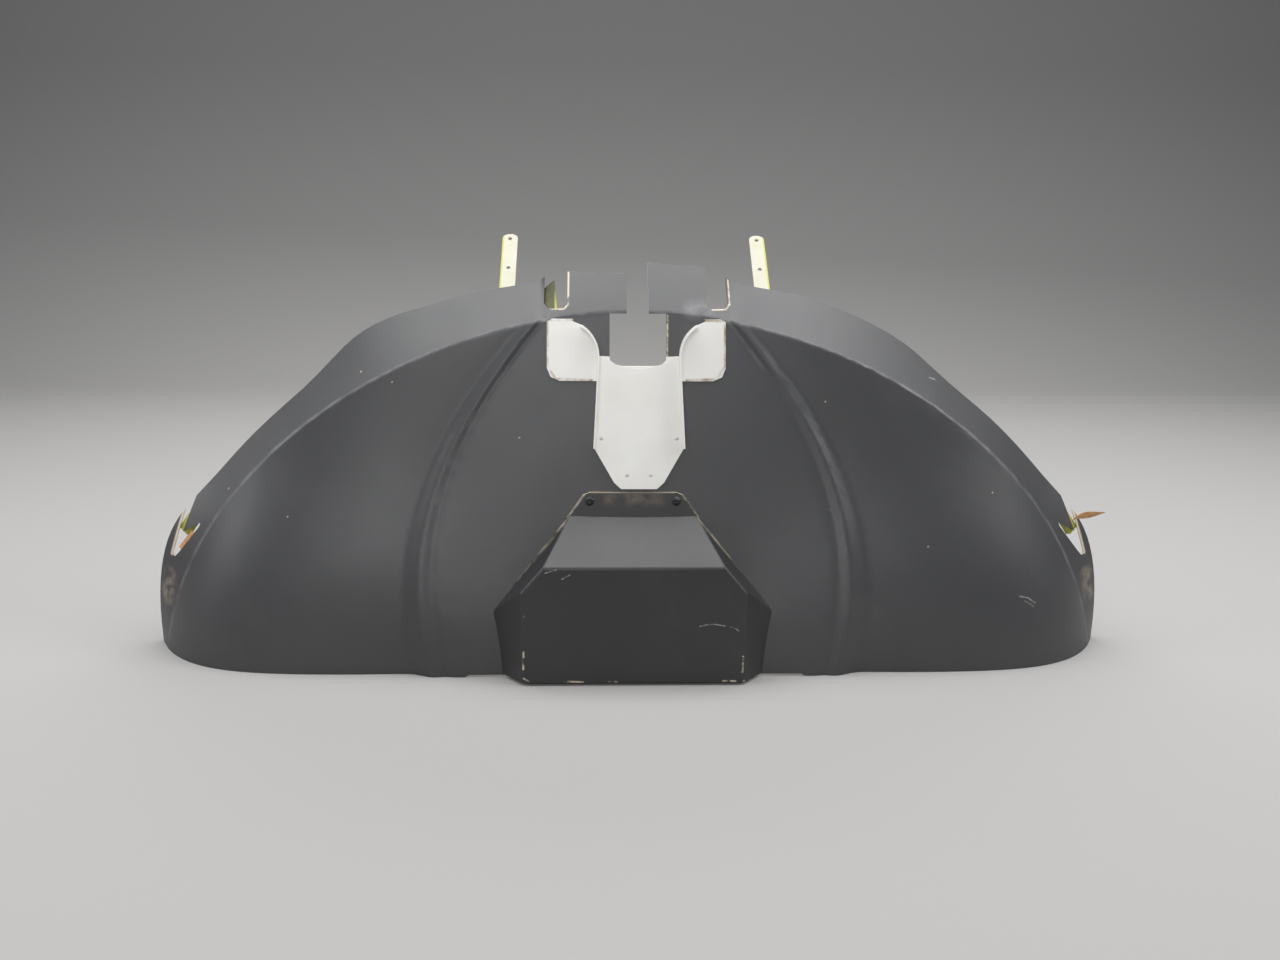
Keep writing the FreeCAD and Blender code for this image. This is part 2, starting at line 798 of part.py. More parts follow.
nut_barrel_outline = sketch_on(nutplate_form, "XY_Plane", "nut_barrel_outline")
circle(nut_barrel_outline, 0.0, 0.0, 7.5)
circle(nut_barrel_outline, 0.0, 0.0, size("screw_size") + size("hole_clearance"))
pad(nutplate_form, nut_barrel_outline, "nut_barrel", NUTPLATE_BACK)
doc.recompute()


def copies(name, form, placements):
    """One node of identical pieces, each a solid of its own."""
    made = []
    for count, placement in enumerate(placements, start=1):
        piece = doc.addObject("Part::Feature", "%s_%d" % (name, count))
        piece.Shape = form.Shape
        piece.Placement = placement
        made.append(piece)
    return group(name, made)


def moved_along(placement, distance):
    """The same seat moved along its own axis."""
    return placement.multiply(Placement(Vector(0, 0, distance), Rotation()))


def turned_round(placement):
    return placement.multiply(Placement(Vector(0, 0, 0), Rotation(Vector(1, 0, 0), 180)))


hood_washers = copies("hood_washers", washer_form, [moved_along(spot, 0.1) for spot in SCREW_SEATS])
hood_screws = copies("hood_screws", screw_form, [moved_along(spot, 0.15) for spot in SCREW_SEATS])
hood_nutplates = copies("hood_nutplates", nutplate_form, [
    turned_round(moved_along(spot, -GRIP - 0.2)) for spot in SCREW_SEATS])


# Channel for the windshield post, folded from sheet, and the ear plate behind it

shift = size("post_shift")
neck = size("channel_neck")
half = size("channel_half_width")
gauge = size("sheet_gauge")
tip_half = size("tip_half_width")
web_outline = [
    (shift - half, size("channel_shoulder")), (shift - tip_half - 8.0, size("channel_tip") + 7.0),
    (shift - tip_half, size("channel_tip")), (shift + tip_half, size("channel_tip")),
    (shift + tip_half + 8.0, size("channel_tip") + 7.0), (shift + half, size("channel_shoulder")),
    (shift + neck, size("channel_turn")), (shift + neck - 7.0, size("channel_turn")),
    (shift + neck - 20.0, size("channel_top")), (shift, size("channel_top") - 5.0),
    (shift - neck + 20.0, size("channel_top")), (shift - neck + 7.0, size("channel_turn")),
    (shift - neck, size("channel_turn"))]
web_prism = cutter("web_prism", web_outline)
plate_near = -mm("seat_gap")
plate_far = plate_near - mm("sheet_gauge")
web_near = plate_far - mm("seat_gap")
web_far = web_near - mm("sheet_gauge")
MIDDLE_FEET = [-RIB_FOOT + 3.0, RIB_FOOT - 3.0]
MIDDLE_ROWS = [FACE_ROWS * 0.4, FACE_ROWS + ROUND]
web_sheet = solid_feature("web_sheet", layer(MIDDLE_FEET, MIDDLE_ROWS, web_far, web_near))
web = common("web", web_sheet, web_prism)
wall_sheet = solid_feature("wall_sheet", layer(
    MIDDLE_FEET, MIDDLE_ROWS, web_near - mm("channel_wall"), web_near))


def flared_wall(name, side):
    """One side wall seen from the crown: straight up the web, then a quarter turn outward."""
    owner = body(name)
    outline = sketch_on(owner, "XZ_Plane", name + "_outline")
    turn = mm("channel_turn")
    radius = mm("flare_radius")
    thick = mm("sheet_gauge")
    x_low = mm("post_shift") + side * mm("channel_half_width")
    x_turn = mm("post_shift") + side * mm("channel_neck")
    centre = Vector(x_turn + side * radius, turn, 0)
    lines = []
    for inset in (0.0, thick):
        arc_radius = radius + inset
        start = Vector(centre.x - side * arc_radius, turn, 0)
        angle = math.radians(mm("flare_turn"))
        end = Vector(centre.x - side * arc_radius * math.cos(angle), turn + arc_radius * math.sin(angle), 0)
        half_way = angle / 2
        middle = Vector(centre.x - side * arc_radius * math.cos(half_way),
                        turn + arc_radius * math.sin(half_way), 0)
        low = Vector(x_low - side * inset, mm("channel_shoulder"), 0)
        lines.append((low, start, middle, end))
    (low_a, start_a, mid_a, end_a), (low_b, start_b, mid_b, end_b) = lines
    outline.addGeometry(Part.LineSegment(low_a, start_a), False)
    outline.addGeometry(Part.Arc(start_a, mid_a, end_a), False)
    outline.addGeometry(Part.LineSegment(end_a, end_b), False)
    outline.addGeometry(Part.Arc(end_b, mid_b, start_b), False)
    outline.addGeometry(Part.LineSegment(start_b, low_b), False)
    outline.addGeometry(Part.LineSegment(low_b, low_a), False)
    pad(owner, outline, name + "_pad", CUT_DEPTH, symmetric=True)
    return owner


channel_walls = []
for side, name in ((-1, "left_channel_wall"), (1, "right_channel_wall")):
    channel_walls.append(common(name, wall_sheet, flared_wall(name + "_prism", side)))
channel_blank = fuse("channel_blank", [web] + channel_walls)
post_channel = cut("post_channel", channel_blank, [post_drill])

ear = size("ear_reach")
ear_low = size("ear_low")
ear_high = size("ear_high")
corner = size("ear_radius")
tongue = neck - 4.0
ear_prism = cutter("ear_prism", [
    (-ear, ear_high - 3.0), (-ear, ear_low + corner), (-ear + corner * 0.3, ear_low + corner * 0.3),
    (-ear + corner, ear_low), (shift - tongue, ear_low), (shift - tongue, size("channel_shoulder")),
    (shift - tip_half, size("channel_tip") + 8.0), (shift + tip_half, size("channel_tip") + 8.0),
    (shift + tongue, size("channel_shoulder")), (shift + tongue, ear_low), (ear - corner, ear_low),
    (ear - corner * 0.3, ear_low + corner * 0.3), (ear, ear_low + corner), (ear, ear_high - 3.0),
    (ear - 6.0, ear_high), (-ear + 6.0, ear_high)])
ear_sheet = solid_feature("ear_sheet", layer(MIDDLE_FEET, MIDDLE_ROWS, plate_far, plate_near))
ear_blank = common("ear_blank", ear_sheet, ear_prism)


def throat_side(side):
    """The edge of the opening between the ears: it follows the flare of the channel's wall."""
    radius = size("flare_radius") + size("sheet_gauge") * 0.5
    x_turn = shift + neck * side
    places = []
    for degrees in (0, 15, 30, 45, 60, 75):
        angle = math.radians(degrees)
        x = x_turn + (size("flare_radius") - radius * math.cos(angle)) * side
        places.append((x, size("channel_turn") + radius * math.sin(angle)))
    return places


throat_cut = cutter("throat_cut", [(shift, size("channel_turn") - 2.0)] + throat_side(1) + [
    (shift, FAR)] + list(reversed(throat_side(-1))))
post_ear_plate = cut("post_ear_plate", ear_blank, [notch_cut, throat_cut, post_drill])


# Legs: angle brackets that lie along the inside of the band and reach forward past its edge

BASE_ROW_LOW = FACE_ROWS + 12
BASE_ROW_HIGH = FACE_ROWS + 48
base_near = mm("wall") + mm("seat_gap")
base_far = base_near + mm("leg_gauge")


LEG_LIFT = 1.5


def leg_base(name, side, inner):
    ends = sorted(foot_at(side * mm(word), FACE_ROWS + 30) for word in (inner, "leg_base_outer"))
    return solid_feature(name, layer(ends, [BASE_ROW_LOW, BASE_ROW_HIGH], base_near, base_far))


def leg_seat(side):
    foot = foot_at(side * mm("leg_place"), FACE_ROWS + 30)
    point, inward, up = seat(foot, FACE_ROWS + mm("leg_start") + 14, base_far + mm("seat_gap"))
    up = Vector(0, up.y, up.z).normalize()
    inward = Vector(1, 0, 0).cross(up)
    if inward.y < 0:
        inward = inward * -1
    return facing(point + inward * LEG_LIFT, inward, up)


def leg(name, side):
    """An angle with one face on the base plate and one flange on its inner side, with holes at the tip."""
    owner = body(name)
    section = sketch_on(owner, "XZ_Plane", name + "_section")
    half = size("leg_width") / 2
    flange = size("leg_flange")
    thick = size("leg_gauge")
    inner = -side
    polygon(section, [
        (half * -inner, 0.0), (half * inner, 0.0), (half * inner, flange),
        ((half - thick) * inner, flange), ((half - thick) * inner, thick), (half * -inner, thick)])
    pad(owner, section, name + "_bar", size("leg_length"), reversed_way=True)
    tip = sketch_on(owner, "XY_Plane", name + "_tip_corners")
    length = size("leg_length")
    radius = size("leg_tip_radius")
    for way in (-1, 1):
        polygon(tip, [
            (half * way, length + 1.0), (half * way, length - radius), (half * way * 0.85, length - radius * 0.45),
            ((half - radius) * way, length), ((half - radius) * way, length + 1.0)])
    pocket_through(owner, tip, name + "_tip")
    holes = sketch_on(owner, "XY_Plane", name + "_holes_outline")
    circle(holes, 0.0, length - size("leg_hole_inset"), size("leg_hole"))
    circle(holes, 0.0, size("leg_hole_low"), size("leg_hole"))
    pocket_through(owner, holes, name + "_holes")
    rivets = sketch_on(owner, "XY_Plane", name + "_rivet_outline")
    for count in (0, 1):
        circle(rivets, 0.0, size("leg_rivet_first") + size("leg_rivet_pitch") * count, size("leg_rivet"))
    pocket_through(owner, rivets, name + "_rivet_holes")
    owner.Placement = leg_seat(side)
    return owner


leg_left = leg("leg_left", -1)
leg_right = leg("leg_right", 1)
leg_base_left_blank = leg_base("leg_base_left_blank", -1, "leg_base_inner_left")
leg_base_right_blank = leg_base("leg_base_right_blank", 1, "leg_base_inner_right")

rivet_radius = size("leg_rivet") / 2 - 0.1
RIVET_DEPTH = 2.2
rivet_form = turned("rivet_form", [
    (0.0, -RIVET_DEPTH), (rivet_radius, -RIVET_DEPTH), (rivet_radius, size("leg_gauge") + 0.05),
    (rivet_radius * 1.9, size("leg_gauge") + 0.05), (rivet_radius * 1.2, size("leg_gauge") + 1.4),
    (0.0, size("leg_gauge") + 1.4)])
doc.recompute()


def leg_rivet_places(side):
    frame = leg_seat(side)
    places = []
    for count in (0, 1):
        along = mm("leg_rivet_first") + mm("leg_rivet_pitch") * count
        places.append(frame.multiply(Placement(Vector(0, along, 0), Rotation())))
    return places


leg_rivets_left = copies("leg_rivets_left", rivet_form, leg_rivet_places(-1))
leg_rivets_right = copies("leg_rivets_right", rivet_form, leg_rivet_places(1))


leg_rivet_pattern = [(0.0, size("leg_rivet_first") + size("leg_rivet_pitch") * count) for count in (0, 1)]
leg_base_left = cut("leg_base_left", leg_base_left_blank, [
    square_bores("left_rivet_bores", leg_seat(-1), leg_rivet_pattern, size("leg_rivet"), 2 * RIVET_DEPTH + 0.4)])
leg_base_right = cut("leg_base_right", leg_base_right_blank, [
    square_bores("right_rivet_bores", leg_seat(1), leg_rivet_pattern, size("leg_rivet"), 2 * RIVET_DEPTH + 0.4)])


# End brackets: small angles that bridge each slit from inside, and the thin strips that lie on them

END_ROW = FACE_ROWS + 44


def end_foot(height, side):
    """The foot whose line crosses the side flange at a height."""
    low = 0.0
    high = LAST_FOOT
    for _ in range(40):
        middle = (low + high) / 2
        if crown(middle, END_ROW).z > height:
            low = middle
        else:
            high = middle
    return side * (low + high) / 2


def end_patch(name, side, length, rows, near, far):
    """A sheet that follows the inside of the side flange, centred on the slit."""
    middle = mm("end_bracket_height")
    ends = sorted(end_foot(middle + way * length / 2, side) for way in (-1, 1))
    return solid_feature(name, layer(ends, rows, near, far))


strip_near = mm("wall") + mm("seat_gap") / 2
bracket_near = strip_near + mm("strip_gauge") + mm("seat_gap") / 2
LIP_STEP = 0.3


def end_bracket(name, side):
    half = mm("end_bracket_width") / 2
    gauge_here = mm("sheet_gauge")
    length = mm("end_bracket_length")
    plate = end_patch(name + "_plate", side, length, [END_ROW - half, END_ROW + half],
                      bracket_near, bracket_near + gauge_here)
    lip_row = END_ROW - half + LIP_STEP
    lip = end_patch(name + "_lip", side, length - 2 * LIP_STEP, [lip_row, lip_row + gauge_here],
                    bracket_near + gauge_here / 2, bracket_near + mm("end_bracket_lip"))
    return fuse(name, [plate, lip])


end_bracket_left = end_bracket("end_bracket_left", -1)
end_bracket_right = end_bracket("end_bracket_right", 1)


def slit_edge(side):
    """The two ends of the lower edge of the slit, where the strips were laid."""
    half_width = size("crease_half_width")
    flap = half_width - size("flap_inset")
    root = flap - size("flap_width")
    return ((root + 1.0) * side, size("flap_root") - 4.0), ((flap + 4.0) * side, size("slit_tip") + 6.0)


def strip_prism(name, side, start, end, inside, outside):
    """A band along the slit's lower edge, from a share of its length to another."""
    (x_a, z_a), (x_b, z_b) = slit_edge(side)
    run = Vector(number(x_b) - number(x_a), number(z_b) - number(z_a), 0)
    across = Vector(run.y, -run.x, 0).normalize() * -side
    corners = []
    for share, reach in ((start, -inside), (end, -inside), (end, outside), (start, outside)):
        corners.append((x_a + (x_b - x_a) * share + reach * across.x, z_a + (z_b - z_a) * share + reach * across.y))
    return cutter(name, corners)


STRIP_FEET = 60.0
left_strip_sheet = end_patch("left_strip_sheet", -1, 3 * STRIP_FEET, [FACE_ROWS + 8, ROWS_TOTAL - 2],
                             strip_near, strip_near + mm("strip_gauge"))
end_strip_left = common("end_strip_left", left_strip_sheet, strip_prism(
    "left_strip_prism", -1, 0.3, 0.95, size("strip_width") * 0.5, size("strip_width") * 0.5))

# the right strip has come away at its upper end and springs outward over the tip of the flange
peel_foot = crown(end_foot(mm("slit_top") - 16.0, 1), END_ROW)
PEEL_RISE = [(-7.0, -8.0), (-3.0, 1.0), (1.0, 6.5), (7.0, 11.0), (14.0, 14.0), (24.0, 15.5), (35.0, 14.5)]


def peeled_strip(name):
    """A thin strip drawn along its bend and given its width in depth."""
    owner = body(name)
    outline = sketch_on(owner, "XZ_Plane", name + "_bend")
    outline.AttachmentOffset = Placement(Vector(0, 0, -peel_foot.y), Rotation())
    lower = []
    upper = []
    for count, (x, z) in enumerate(PEEL_RISE):
        before = PEEL_RISE[max(count - 1, 0)]
        after = PEEL_RISE[min(count + 1, len(PEEL_RISE) - 1)]
        along = Vector(after[0] - before[0], after[1] - before[1], 0).normalize()
        across = Vector(-along.y, along.x, 0) * (mm("strip_gauge") / 2)
        point = Vector(peel_foot.x + x, peel_foot.z + z, 0)
        upper.append(point + across)
        lower.append(point - across)
    polygon(outline, [(point.x, point.y) for point in upper + list(reversed(lower))])
    pad(owner, outline, name + "_pad", size("strip_width"), symmetric=True)
    return owner


bracket_side = solid_feature("bracket_side", layer(
    [end_foot(mm("end_bracket_height") + 60, 1), end_foot(mm("end_bracket_height") - 60, 1)],
    [FACE_ROWS + ROUND, ROWS_TOTAL], -0.3, bracket_near + 15))
end_strip_right = cut("end_strip_right", peeled_strip("end_strip_right_blank"), [bracket_side])


# Check each object, then write one file for each node

NODES = [
    shell, hood, hood_screws, hood_washers, hood_nutplates, post_channel, post_ear_plate,
    leg_left, leg_right, leg_base_left, leg_base_right, leg_rivets_left, leg_rivets_right,
    end_bracket_left, end_bracket_right, end_strip_left, end_strip_right]

doc.recompute()
for thing in doc.Objects:
    if "Invalid" in thing.State or "Error" in thing.State:
        raise RuntimeError("%s is not sound: %s" % (thing.Name, thing.State))
os.makedirs("parts", exist_ok=True)
for node in NODES:
    shape = node.Shape
    if shape.isNull() or not shape.isValid() or not shape.Solids:
        raise RuntimeError("%s has no valid solid" % node.Label)

# The origin is below the middle of the overall box, which reaches from the hood's front to the legs' tips
back_end = max(leg_left.Shape.BoundBox.YMax, leg_right.Shape.BoundBox.YMax)
to_middle = Vector(0, -(mm("hood_front") + back_end) / 2, 0)
for node in NODES:
    placed = node.Shape.copy()
    placed.translate(to_middle)
    placed.exportStep("parts/%s.step" % node.Label)
    print("%-20s %2d solids %10.1f mm3" % (node.Label, len(placed.Solids), placed.Volume))
print("moved in Y by %.4f" % to_middle.y)
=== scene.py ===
import math

import bmesh
import bpy
from mathutils import Matrix, Vector


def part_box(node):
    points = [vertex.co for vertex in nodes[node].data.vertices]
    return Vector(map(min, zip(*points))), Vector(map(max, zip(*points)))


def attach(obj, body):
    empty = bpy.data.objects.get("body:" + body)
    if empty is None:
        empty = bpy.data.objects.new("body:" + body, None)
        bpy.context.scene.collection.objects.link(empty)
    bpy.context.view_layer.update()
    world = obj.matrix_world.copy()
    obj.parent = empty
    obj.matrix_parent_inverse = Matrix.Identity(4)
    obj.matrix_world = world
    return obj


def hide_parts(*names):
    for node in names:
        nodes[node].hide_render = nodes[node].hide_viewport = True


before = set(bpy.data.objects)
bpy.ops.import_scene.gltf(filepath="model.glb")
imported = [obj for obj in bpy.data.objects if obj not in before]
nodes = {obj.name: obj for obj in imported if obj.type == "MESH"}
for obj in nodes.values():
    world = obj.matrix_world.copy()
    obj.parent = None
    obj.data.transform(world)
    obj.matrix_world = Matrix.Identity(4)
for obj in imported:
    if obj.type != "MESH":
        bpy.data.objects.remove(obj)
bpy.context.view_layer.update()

MM = 1000.0

# Shades of the finishes, as linear red, green and blue

CHARCOAL = (0.024, 0.0245, 0.027, 1)
CHARCOAL_PALE = (0.034, 0.0345, 0.038, 1)
HOOD_CHARCOAL = (0.016, 0.0164, 0.018, 1)
HOOD_CHARCOAL_PALE = (0.024, 0.0244, 0.0265, 1)
# Rubbed grey: rubbed edges, with painted highlights along the crease and on the tab
RUB_AND_HIGHLIGHT_GREY = (0.16, 0.16, 0.17, 1)
SCRATCH_GREY = (0.42, 0.41, 0.39, 1)
WORN_BROWN = (0.115, 0.090, 0.068, 1)
SMUDGE_BEIGE = (0.20, 0.165, 0.125, 1)
DUST = (0.30, 0.29, 0.27, 1)
CREAM = (0.62, 0.54, 0.40, 1)
BARE_ALUMINIUM = (0.83, 0.825, 0.80, 1)
STAINED_ALUMINIUM = (0.74, 0.72, 0.67, 1)
# Brown painted shade for the edges of the ears
ALUMINIUM_EDGE_SHADE = (0.34, 0.26, 0.14, 1)
PRIMER = (0.46, 0.47, 0.07, 1)
# Dark primer: painted shade on the plates in the slots
PRIMER_PAINTED_SHADE = (0.050, 0.050, 0.012, 1)
PRIMER_PAINTED_SHADE_WORN = (0.085, 0.085, 0.02, 1)
# Pale primer: a painted highlight where the legs face the front
PRIMER_PAINTED_HIGHLIGHT = (0.56, 0.555, 0.46, 1)
PRIMER_PAINTED_HIGHLIGHT_WORN = (0.52, 0.50, 0.36, 1)
STEEL = (0.42, 0.42, 0.43, 1)
DARK_STEEL = (0.030, 0.030, 0.031, 1)
WASHER_GREY = (0.075, 0.075, 0.078, 1)
TAN_DARK = (0.40, 0.19, 0.07, 1)
TAN = (0.58, 0.31, 0.125, 1)
TAN_PALE = (0.68, 0.45, 0.24, 1)
FLOOR_GREY = (0.40, 0.394, 0.388, 1)
# Wall grey: painted shade, the sweep darkens towards it up the wall
WALL_PAINTED_SHADE_GREY = (0.27, 0.264, 0.262, 1)


class Recipe:
    """A material under construction: adds nodes and joins them."""

    def __init__(self, name):
        self.material = bpy.data.materials.new(name)
        self.material.use_nodes = True
        self.tree = self.material.node_tree
        self.tree.nodes.clear()
        self.shader = self.add("ShaderNodeBsdfPrincipled")
        output = self.add("ShaderNodeOutputMaterial")
        self.join(self.shader, "BSDF", output, "Surface")
        self.place = self.add("ShaderNodeTexCoord")

    def add(self, kind, **settings):
        made = self.tree.nodes.new(kind)
        for word, value in settings.items():
            setattr(made, word, value)
        return made

    def join(self, source, out_name, target, in_name):
        self.tree.links.new(source.outputs[out_name], target.inputs[in_name])

    def set(self, **values):
        for word, value in values.items():
            self.shader.inputs[word.replace("_", " ")].default_value = value

    def colour_from(self, shade):
        self.tree.links.new(shade, self.shader.inputs["Base Color"])

    def noise(self, scale, detail=2.0, rough=0.5, stretch=(1, 1, 1)):
        mapping = self.add("ShaderNodeMapping")
        mapping.inputs["Scale"].default_value = stretch
        self.join(self.place, "Object", mapping, "Vector")
        made = self.add("ShaderNodeTexNoise")
        made.inputs["Scale"].default_value = scale
        made.inputs["Detail"].default_value = detail
        made.inputs["Roughness"].default_value = rough
        self.join(mapping, "Vector", made, "Vector")
        return made

    def ramp(self, source, out_name, stops):
        """A colour that runs from stop to stop as the source rises."""
        made = self.add("ShaderNodeValToRGB")
        ramp = made.color_ramp
        while len(ramp.elements) < len(stops):
            ramp.elements.new(0.5)
        for element, (position, colour) in zip(ramp.elements, stops):
            element.position = position
            element.color = colour
        self.join(source, out_name, made, "Fac")
        return made.outputs["Color"]

    def spread(self, source, out_name, low, high, least=0.0, most=1.0):
        """Takes what lies between low and high to what lies between least and most."""
        made = self.add("ShaderNodeMapRange")
        made.inputs["From Min"].default_value = low
        made.inputs["From Max"].default_value = high
        made.inputs["To Min"].default_value = least
        made.inputs["To Max"].default_value = most
        self.join(source, out_name, made, "Value")
        return made.outputs["Result"]

    def place_parts(self):
        parts = self.add("ShaderNodeSeparateXYZ")
        self.join(self.place, "Object", parts, "Vector")
        return parts

    def distance_aside(self, parts):
        """How far a place lies from the middle of the object, to the left or to the right."""
        folded = self.add("ShaderNodeMath", operation="ABSOLUTE")
        self.join(parts, "X", folded, 0)
        return folded

    def front_place(self, mirrored=False):
        """The place seen from the front. Where mirrored, both sides count as the right one."""
        parts = self.place_parts()
        flat = self.add("ShaderNodeCombineXYZ")
        self.join(parts, "Z", flat, "Z")
        if mirrored:
            self.join(self.distance_aside(parts), 0, flat, "X")
        else:
            self.join(parts, "X", flat, "X")
        return flat

    def vector_math(self, operation, first, second):
        made = self.add("ShaderNodeVectorMath", operation=operation)
        self.tree.links.new(first, made.inputs[0])
        made.inputs[1].default_value = second
        return made

    def line_mask(self, flat, start, end, width):
        """One on the line between two places (X, Z in mm), and nothing at its width."""
        a = Vector((start[0], 0, start[1])) / MM
        run = Vector((end[0] - start[0], 0, end[1] - start[1])) / MM
        offset = self.vector_math("SUBTRACT", flat.outputs[0], a).outputs["Vector"]
        share = self.vector_math("DOT_PRODUCT", offset, run / run.length_squared)
        clamped = self.add("ShaderNodeClamp")
        self.join(share, "Value", clamped, "Value")
        nearest = self.add("ShaderNodeVectorMath", operation="SCALE")
        nearest.inputs[0].default_value = run
        self.join(clamped, "Result", nearest, "Scale")
        across = self.add("ShaderNodeVectorMath", operation="SUBTRACT")
        self.tree.links.new(offset, across.inputs[0])
        self.join(nearest, "Vector", across, 1)
        reach = self.add("ShaderNodeVectorMath", operation="LENGTH")
        self.join(across, "Vector", reach, 0)
        return self.spread(reach, "Value", width / MM, width / MM / 4)

    def either(self, first, second):
        if first is None:
            return second
        made = self.add("ShaderNodeMath", operation="MAXIMUM")
        self.tree.links.new(first, made.inputs[0])
        self.tree.links.new(second, made.inputs[1])
        return made.outputs[0]

    def faint(self, mask, strength):
        made = self.add("ShaderNodeMath", operation="MULTIPLY")
        self.tree.links.new(mask, made.inputs[0])
        made.inputs[1].default_value = strength
        return made.outputs[0]

    def broken(self, mask, scale, low, high):
        """Breaks a mask up with a noise, so that it looks worn and not drawn."""
        rough = self.spread(self.noise(scale, detail=3.0, rough=0.6), "Fac", low, high)
        made = self.add("ShaderNodeMath", operation="MULTIPLY")
        self.tree.links.new(mask, made.inputs[0])
        self.tree.links.new(rough, made.inputs[1])
        return made.outputs[0]

    def over(self, shade, mask, colour):
        """Lays a colour over a shade where the mask is one."""
        made = self.add("ShaderNodeMixRGB")
        self.tree.links.new(mask, made.inputs["Fac"])
        self.tree.links.new(shade, made.inputs["Color1"])
        made.inputs["Color2"].default_value = colour
        return made.outputs["Color"]

    def mark(self, shade, flat, chains, width, colour, wear=None, strength=1.0):
        """Draws chains of lines over a shade.

        The wear that breaks them up is the scale of a noise and its levels of least and most.
        """
        mask = None
        for places in chains:
            for start, end in zip(places, places[1:]):
                mask = self.either(mask, self.line_mask(flat, start, end, width))
        if wear:
            mask = self.broken(mask, *wear)
        return self.over(shade, self.faint(mask, strength), colour)

    def bump(self, source, strength, distance):
        made = self.add("ShaderNodeBump")
        made.inputs["Strength"].default_value = strength
        made.inputs["Distance"].default_value = distance
        self.join(source, "Fac", made, "Height")
        self.join(made, "Normal", self.shader, "Normal")


# Where the marks lie, seen from the front: X and Z in mm, and widths in mm

CREASE_HALF_WIDTH = 556.0
CREASE_RISE = 440.0
CREASE_FOOT = 40.0
CREASE_FULLNESS = 1.88
CREASE_FIRST_TURN = 4.0
CREASE_SWEEP = 75.0
CREASE_STEPS = 16
CREASE_RUB_AND_HIGHLIGHT_WIDTH = 2.6

SLOT_RIMS = [
    [(-101.5, 446), (-101.5, 407), (-97, 402), (-81, 402), (-76.5, 407), (-76.5, 440)],
    [(106.5, 446), (106.5, 407), (102, 402), (86, 402), (81.5, 407), (81.5, 448)],
]
NOTCH_RIMS = [[(-28.5, 396), (-28.5, 347)], [(34.5, 396), (34.5, 347)], [(-22.5, 341), (28.5, 341)]]
SHELL_RIM_WIDTH = 1.5
FLANGE_EDGE = [(546.0, 110.0), (531.0, 160.0)]
FLANGE_EDGE_WIDTH = 3.0
FLANGE_SMUDGE = [(553, 60), (549, 84)]
TAB_SHINE = [(62, 402), (78, 401)]
SMUDGE_WIDTH = 13.0
LOBE_SCRATCHES = [
    [(441, 83), (452, 80), (462, 73)], [(448, 77), (459, 70)], [(342, 323), (350, 320)]]
LOBE_SCRATCH_WIDTH = 1.0
SPECKS = [
    (-311.7, 329.3), (-273.9, 320.5), (-469.6, 193.0), (-392.0, 172.0), (214.0, 301.0),
    (331.0, 142.0), (-131.0, 262.0), (412.0, 196.0)]
SPECK_LENGTH = (0.6, 0.4)
SPECK_WIDTH = 1.1

HOOD_RIMS = [
    [(-58.0, 201.5), (-76.0, 177.0), (-157.5, 80.0)],
    [(51.0, 201.5), (69.0, 177.0), (150.8, 80.0)],
]
HOOD_RIM_WIDTH = 1.7
HOOD_FLANGE_TOP = [(-50.0, 203.2), (43.0, 203.2)]
HOOD_FLANGE_TOP_WIDTH = 1.0
HOOD_BROWN_PATCH = [(-32, 198), (26, 198)]
HOOD_BROWN_WIDTH = 11.0
HOOD_CHIPS = [
    [(-124.5, 9.0), (-118.0, 5.0)], [(-79.0, 5.2), (-56.0, 4.8)], [(96.0, 5.2), (119.0, 5.0)],
    [(-124.8, 20.0), (-124.2, 40.0)], [(117.0, 16.0), (117.2, 34.0)], [(-30.0, 4.8), (-22.0, 4.8)]]
HOOD_CHIP_WIDTH = 1.5
HOOD_SCRATCHES = [
    [(68.8, 69.5), (77, 71.6), (85.2, 71.9), (96.2, 70.0)],
    [(102.8, 68.8), (108, 67), (111.7, 64.1)]]
HOOD_SCUFFS = [
    [(-100.1, 131.0), (-88.2, 134.5)], [(-81.8, 124.0), (-73.1, 129.0)],
    [(-124.0, 80.8), (-122.6, 82.0)]]
HOOD_SCRATCH_WIDTH = 0.95

EAR_RIMS = [
    [(-99.4, 388), (-99.4, 341), (-90, 327), (-50, 325.8)],
    [(99.4, 388), (99.4, 341), (90, 327), (56, 325.8)],
    [(-99.4, 390.6), (-62, 391)], [(99.4, 390.6), (68, 391)],
]
EAR_RIM_WIDTH = 2.2
LEG_FLANGE_FROM = 154.9
LEG_FLANGE_TO = 155.3
BASE_EDGE = [(-89.5, 400), (-89.5, 421)]
BASE_EDGE_WIDTH = 3.2


def crease_line():
    """The bend between the face and the band, as seen from the front, on the right side."""
    places = []
    for step in range(CREASE_STEPS + 1):
        turn = math.radians(CREASE_FIRST_TURN + CREASE_SWEEP * step / CREASE_STEPS)
        across = math.cos(turn) ** (2 / CREASE_FULLNESS)
        up = math.sin(turn) ** (2 / CREASE_FULLNESS)
        places.append((CREASE_HALF_WIDTH * across, CREASE_RISE * up - CREASE_FOOT))
    return places


SHELL_SHEEN = 0.95
HOOD_SHEEN = 0.68
MOULD_SMOOTHEST = 0.40
MOULD_ROUGHEST = 0.52
MOULD_GRAIN_SCALE = 800.0
MOULD_GRAIN_DEPTH = 0.0004
DUST_MOST = 0.09
SHEET_GRAIN_DEPTH = 0.0003
LEAF_GRAIN_DEPTH = 0.0006


def moulded_shade(recipe, dark, pale):
    """The dark moulded sheet: cloudy, with a faint dust that gathers in streaks."""
    cloudy = recipe.noise(6.0, detail=4.0, rough=0.62)
    shade = recipe.ramp(cloudy, "Fac", [(0.34, dark), (0.74, pale)])
    streaks = recipe.noise(10.0, detail=6.0, rough=0.72, stretch=(1.0, 1.0, 0.55))
    return recipe.over(shade, recipe.spread(streaks, "Fac", 0.58, 0.9, most=DUST_MOST), DUST)


